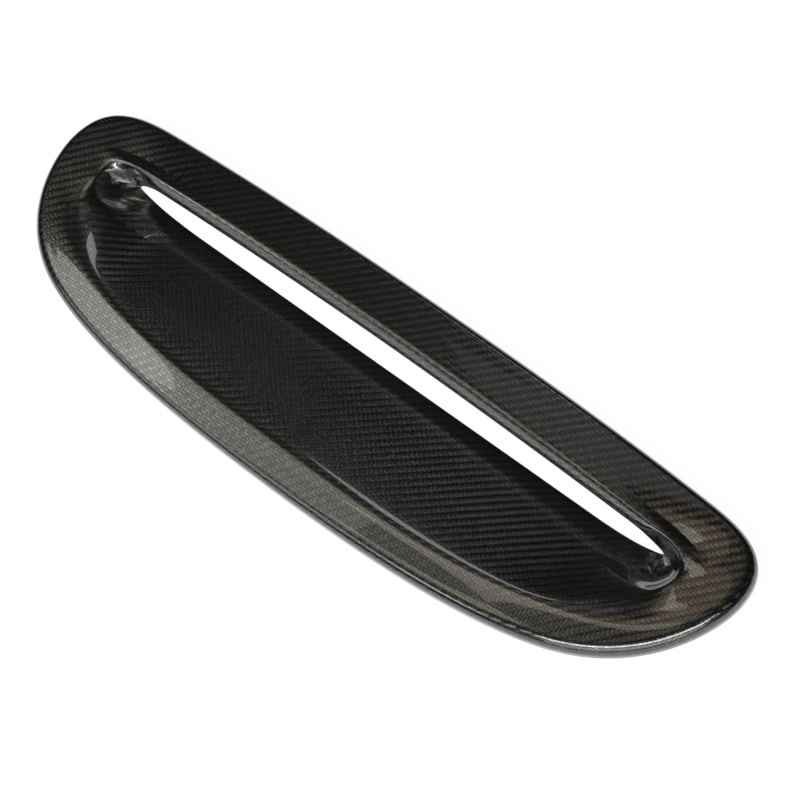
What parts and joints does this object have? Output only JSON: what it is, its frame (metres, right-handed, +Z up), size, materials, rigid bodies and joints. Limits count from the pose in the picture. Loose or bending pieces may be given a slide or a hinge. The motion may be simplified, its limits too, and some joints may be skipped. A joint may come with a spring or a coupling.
{
  "type": "hood air intake cover",
  "caption": "Carbon laminate cover for a car's hood air intake, with a sunken ramp that leads to a long mouth slot under a lip",
  "frame": {"origin": "centre of the bottom of the bounding box, at the height of the ramp's lowest edge", "axes": "+X along the length, +Y towards the straight rear edge behind the lip, +Z up, the way the visible face looks"},
  "size_m": [0.57, 0.156, 0.0282],
  "materials": {
    "carbon_lacquer": "carbon twill laminate under clear gloss lacquer"
  },
  "bodies": {
    "root": {"cover": "carbon_lacquer"}
  },
  "joints": []
}
